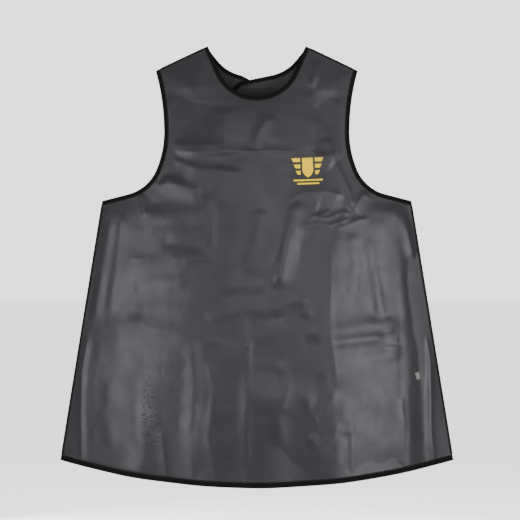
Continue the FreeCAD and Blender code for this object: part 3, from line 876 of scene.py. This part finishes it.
def tape_place(p, d):
    """A binding on the panel: its front leg rides on the shell's folds, its back leg on the lining's."""
    front = np.where(d < STACK / 2, 1.0, 0.0)
    return on_panel(p, d - rise(p) * front + back_rise(p) * (1 - front))


THREADS = []


def bind(name, test, front, back, trim=(0, 0)):
    """A stitched binding along one run of the outline; its legs' widths are in millimetres."""
    line = resample(run_between(test), 0.0032, trim)
    sweep(name + "_tape", line, tape_profile(front, back, STACK * 1000), tape_place, MAT["tape"],
          "binding_tape", [name], wobble=0.00018)
    inward = normals_in(line)
    for width, d in ((front, -0.0007), (back, STACK + 0.0007)):          # one row on each side
        p = line + inward * (width * MM - 0.00125)
        THREADS.append(tape_place(p, np.full(len(p), d)))


bind("neck_binding", lambda x, z: abs(x) < 0.05 and z > -0.3, 8.5, 8.5)
bind("hem_binding", lambda x, z: abs(x) < 0.05 and z < -0.8, 11.5, 11.5)
for hand, sign in (("left", 1), ("right", -1)):
    # the side bindings and the shoulder tapes stop short of the bindings at their ends
    side_trim = (0.0128, 0.0100)[::sign]
    seam_trim = (0.0105, 0.0105)
    bind("armhole_binding_" + hand, lambda x, z: 0.16 < x * sign < 0.3 and -0.32 < z < -0.06, 9, 9)
    bind("side_binding_" + hand, lambda x, z: x * sign > 0.3 and -0.8 < z < -0.35, 4, 12, side_trim)
    bind("shoulder_seam_tape_" + hand, lambda x, z: 0.1 < x * sign < 0.21 and z > -0.05, 3.5, 12,
         seam_trim)
stitches("binding_stitches", THREADS)


# ------------------------------------------------------------------ print, label, fastening patches

shell_tree = BVHTree.FromPolygons([v.co for v in shell.data.vertices],
                                  [tuple(f.vertices) for f in shell.data.polygons])


def on_shell(lift):
    """Surface a little in front of the shell as it was built."""
    def place(p):
        out = []
        for x, z in p:
            hit = shell_tree.ray_cast(Vector((x, -0.2, z)), Vector((0, 1, 0)))[0]
            out.append((x, hit.y - lift, z))
        return np.array(out)
    return place


ply("chest_mark", outlines("chest_print"), 0.0022, on_shell(0.00022), on_shell(0.00004), MAT["ink"],
    "print_ink", ["chest_print"])
ply("side_label", outlines("size_label"), 0.0016, on_shell(0.0005), on_shell(0.0001), MAT["label"],
    "label_cloth", ["size_label"])


PILE_CELL = 0.0016           # size of the pile's tufts, and how far a patch is rounded at its edge


def padded_face(loop, depth, drop, fuzz, seed):
    """One face of a patch of pile; drop is how far its depth changes at the edge."""
    def place(p):
        low = 1 - smooth(0, PILE_CELL, away(p, loop))
        return on_panel(p, depth + drop * low + fuzz * soft_noise(p, PILE_CELL, PILE_CELL, seed))
    return place


PILE = 0.0018
HOOK_DEPTH = STACK + PILE + 0.00035
TAB_DEPTH = HOOK_DEPTH + PILE


def inner_frame(loop, inset, step=0.003):
    """A line of points a little inside a rectangle-like outline."""
    centre = (loop.min(0) + loop.max(0)) / 2
    half = (loop.max(0) - loop.min(0)) / 2 - inset
    corners = np.array([(-1, -1), (1, -1), (1, 1), (-1, 1), (-1, -1)]) * half + centre
    return resample(corners, step)


for hand, sign in (("left", 1), ("right", -1)):
    loop = outlines("loop_patch_" + hand)[0]
    ply("loop_pile_" + hand, [loop], 0.0032, level(STACK + 0.00002),
        padded_face(loop, STACK + PILE, -0.55 * PILE, 0.00012, 6.6), MAT["loop"], "pile_loop",
        ["loop_patch_" + hand])
    frame_line = inner_frame(loop, 0.0032)
    stitches("loop_stitches_" + hand, [level(STACK + PILE + 0.00005)(frame_line)])
    hook = outlines("hook_patch_" + hand)[0]
    ply("hook_pile_" + hand, [hook], 0.0028,
        padded_face(hook, HOOK_DEPTH + 0.0001, 0.55 * PILE, 0.0001, 1.6), level(TAB_DEPTH),
        MAT["hook"], "pile_hook", ["hook_patch_" + hand], body="strap_end_" + hand)


# ------------------------------------------------------------------ straps

def blend_shoulder(obj, hand):
    """Bakes the transform of a piece of a strap into its mesh."""
    seam = Vector((SEAM_X * sign_of(hand), SEAM_Y, SEAM_Z))
    down = Vector((DOWN_X * sign_of(hand), 0, DOWN_Z))
    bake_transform(obj)


def strap_mesh(hand, loop):
    mesh = ply("mesh_strap_" + hand, [loop], STEPS["strap"],
               lambda p: on_strap(p, hand, 0, STRAP_SLACK),
               lambda p: on_strap(p, hand, STRAP, STRAP_SLACK),
               MAT["mesh"], "mesh_cloth", ["strap_mesh_" + hand], body=None)
    blend_shoulder(mesh, hand)
    area_of(loop) * 1.03


def strap_tapes(hand, runs):
    """The two bindings of a strap; gives back the lines of their stitching."""
    sewn = []
    for edge, run in zip(("neck", "outer"), runs):
        line = resample(run, 0.004)
        tape_piece = sweep(f"strap_{edge}_tape_{hand}", line, tape_profile(8, 8, STRAP * 1000),
                           lambda p, d: on_strap(p, hand, d), MAT["tape"], "binding_tape",
                           [f"strap_{edge}_binding_{hand}"], body=None, wobble=0.00018)
        blend_shoulder(tape_piece, hand)
        inset = line + normals_in(line) * 0.00675
        sewn += [on_strap(inset, hand, d) for d in (-0.0007, STRAP + 0.0007)]
    return sewn


def strap_top_rows(hand, run):
    """Two rows of stitching along the top of a strap, where it is sewn to the shoulder."""
    top = resample(run, 0.004, (0.010, 0.010))
    return [on_strap(top + normals_in(top) * inset, hand, STRAP + 0.0001) for inset in (0.003, 0.009)]


for hand in ("left", "right"):
    loop = anticlockwise(STRAP_LOOPS[hand])
    runs = split(loop, corners_of(loop, 40))
    edges = sorted(sorted(runs, key=length_of)[-2:], key=lambda r: -r[:, 1].mean())
    top = min(runs, key=lambda r: abs(np.abs(below_seam(r, hand)).mean()))
    strap_mesh(hand, loop)
    rows = strap_tapes(hand, edges) + strap_top_rows(hand, top)
    blend_shoulder(stitches("strap_stitches_" + hand, rows, body=None), hand)


def bars_of(node, below=0.0):
    """The bars of a node of stitching: left, right, low and top."""
    rows = [(row.min(0), row.max(0)) for row in outlines(node)]
    return [(lo[0], hi[0], lo[1] - below, hi[1]) for lo, hi in rows]


BARS = bars_of("crossing_bar_tacks")
bar_tack("crossing_tacks_front", BARS, lambda p: on_strap(p, "left", -0.0002), "crossed_straps",
         ["crossing_bar_tacks"])
bar_tack("crossing_tacks_back", BARS, lambda p: on_strap(p, "right", STRAP + 0.0002), "crossed_straps", [])


# ------------------------------------------------------------------ hanging loop

LOOP_HALF, LOOP_WIDTH, LOOP_THICK = 0.022, 0.010, 0.0015
BEHIND = STRAP + 0.0005      # depth of the loop's front face, behind the outer strap's


def hang_place(p, d):
    return on_strap(p, "right", BEHIND + d)


def loop_webbing(name, centre, nodes, body):
    """A strip of webbing along a line behind the outer strap, with rounded selvedges."""
    w, t = LOOP_WIDTH / 2, LOOP_THICK
    e = w - 0.0006
    section = np.array([(-w, 0.25 * t), (-e, 0.0), (-w * 0.6, 0.03 * t), (0, 0.0), (w * 0.6, 0.03 * t),
                        (e, 0.0), (w, 0.25 * t), (w, 0.75 * t), (e, t), (0, t * 0.98), (-e, t),
                        (-w, 0.75 * t)])
    return sweep(name, centre, section, hang_place, MAT["webbing"], "webbing", nodes, body=body)


loop_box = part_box("hang_loop")
top_z, low_z = loop_box[1].z, loop_box[0].z + LOOP_WIDTH / 2
bend_z = low_z + LOOP_HALF
bend = [(-LOOP_HALF * math.cos(a), bend_z - LOOP_HALF * math.sin(a)) for a in np.linspace(0, math.pi, 25)]
bend[0], bend[-1] = (-LOOP_HALF, bend_z), (LOOP_HALF, bend_z)
centre = resample(np.array([(-LOOP_HALF, top_z)] + bend + [(LOOP_HALF, top_z)]), 0.0022)
hanger = loop_webbing("hanging_loop", centre, ["hang_loop"], None)
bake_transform(hanger)
tack_bars = bars_of("hang_loop_tacks", below=0.002)
for k, bar in enumerate(tack_bars):
    middle = (bar[0] + bar[1]) / 2
    line = resample(np.array([(middle, bar[3]), (middle, top_z - 0.0006)]), 0.0022)
    loop_webbing(f"loop_end_{k + 1}", line, [], "crossed_straps")
bar_tack("loop_tacks", tack_bars, lambda p: on_strap(p, "right", BEHIND + 0.0017), "crossed_straps",
         ["hang_loop_tacks"], count=22)


# ------------------------------------------------------------------ end tabs

def tab_face(loop, extra, bend):
    """A face of an end tab; bend is how far its depth changes at the edge."""
    def place(p):
        low = 1 - smooth(0, 0.0012, away(p, loop))
        return on_panel(p, TAB_DEPTH + extra + bend * low)
    return place


def peel(obj, hand):
    """Bakes the transform of a piece of an end tab into its mesh."""
    sign = sign_of(hand)
    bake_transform(obj)


for hand in ("left", "right"):
    loop = outlines("end_tab_" + hand)[0]
    tab = ply("tab_" + hand, [loop], 0.003, tab_face(loop, 0.0, 0.0007), tab_face(loop, STRAP, -0.0007),
              MAT["webbing"], "webbing", ["end_tab_" + hand], body=None)
    peel(tab, hand)
    on_tab = level(TAB_DEPTH + STRAP + 0.00005)
    rows = [on_tab(inner_frame(loop, 0.0028)),
            on_tab(inner_frame(outlines("hook_patch_" + hand)[0], 0.002))]
    peel(stitches("tab_stitches_" + hand, rows, body=None), hand)


# ------------------------------------------------------------------ the shell's area, laid flat

flat_loop = np.c_[R * np.arcsin(SHELL_LOOP[:, 0] / R), SHELL_LOOP[:, 1]]
FLAT_AREA = area_of(flat_loop)


# ------------------------------------------------------------------ floor, light, camera

FLOOR_HALF, FLOOR_Z = 30.0, -1.36
WORLD_STRENGTH = 2.2
PANEL_MIDDLE = (0, 0, -0.6)
# soft boxes: name, place, width and height, power in watts
LIGHTS = [
    ("key_right", (1.56, -2.0, -0.76), (1.0, 1.15), 69),
    ("key_middle", (0.10, -2.5, -0.30), (1.35, 0.80), 27),
    ("key_left", (-1.56, -2.0, -0.78), (1.1, 1.1), 54),
    ("top", (0.4, -1.6, 2.4), (2.2, 1.6), 22),
    ("rear_right", (-1.3, 2.0, -0.7), (0.9, 0.9), 62),
    ("rear_left", (1.2, 2.0, -0.7), (0.8, 0.9), 34),
    ("rear_top", (0.2, 2.2, 1.0), (1.6, 0.8), 40),
]


def make_floor():
    mesh = bpy.data.meshes.new("floor")
    corners = [(x * FLOOR_HALF, y * FLOOR_HALF, FLOOR_Z) for x, y in ((-1, -1), (1, -1), (1, 1), (-1, 1))]
    mesh.from_pydata(corners, [], [(0, 1, 2, 3)])
    obj = bpy.data.objects.new("floor", mesh)
    bpy.context.scene.collection.objects.link(obj)
    mesh.materials.append(shader("floor_paper", (0.86, 0.86, 0.86), 0.9, 0.1)[0])


def add_light(name, place, size, power):
    data = bpy.data.lights.new(name, "AREA")
    data.shape, data.size, data.size_y, data.energy = "RECTANGLE", size[0], size[1], power
    obj = bpy.data.objects.new(name, data)
    bpy.context.scene.collection.objects.link(obj)
    obj.location = place
    obj.rotation_mode = "QUATERNION"
    obj.rotation_quaternion = (Vector(PANEL_MIDDLE) - Vector(place)).to_track_quat("-Z", "Y")
    obj.visible_camera = False


def make_world():
    world = bpy.data.worlds.new("studio")
    bpy.context.scene.world = world
    world.use_nodes = True
    back = world.node_tree.nodes["Background"]
    back.inputs["Color"].default_value = (1, 1, 1, 1)
    back.inputs["Strength"].default_value = WORLD_STRENGTH


def make_camera():
    camera = bpy.data.objects.new("camera", bpy.data.cameras.new("camera"))
    bpy.context.scene.collection.objects.link(camera)
    camera.data.lens, camera.data.sensor_width = 100, 36
    camera.location = (0.0067, -2.96, -0.4387)
    camera.rotation_euler = (math.pi / 2, 0, 0)
    bpy.context.scene.camera = camera


make_floor()
make_world()
for light in LIGHTS:
    add_light(*light)
make_camera()
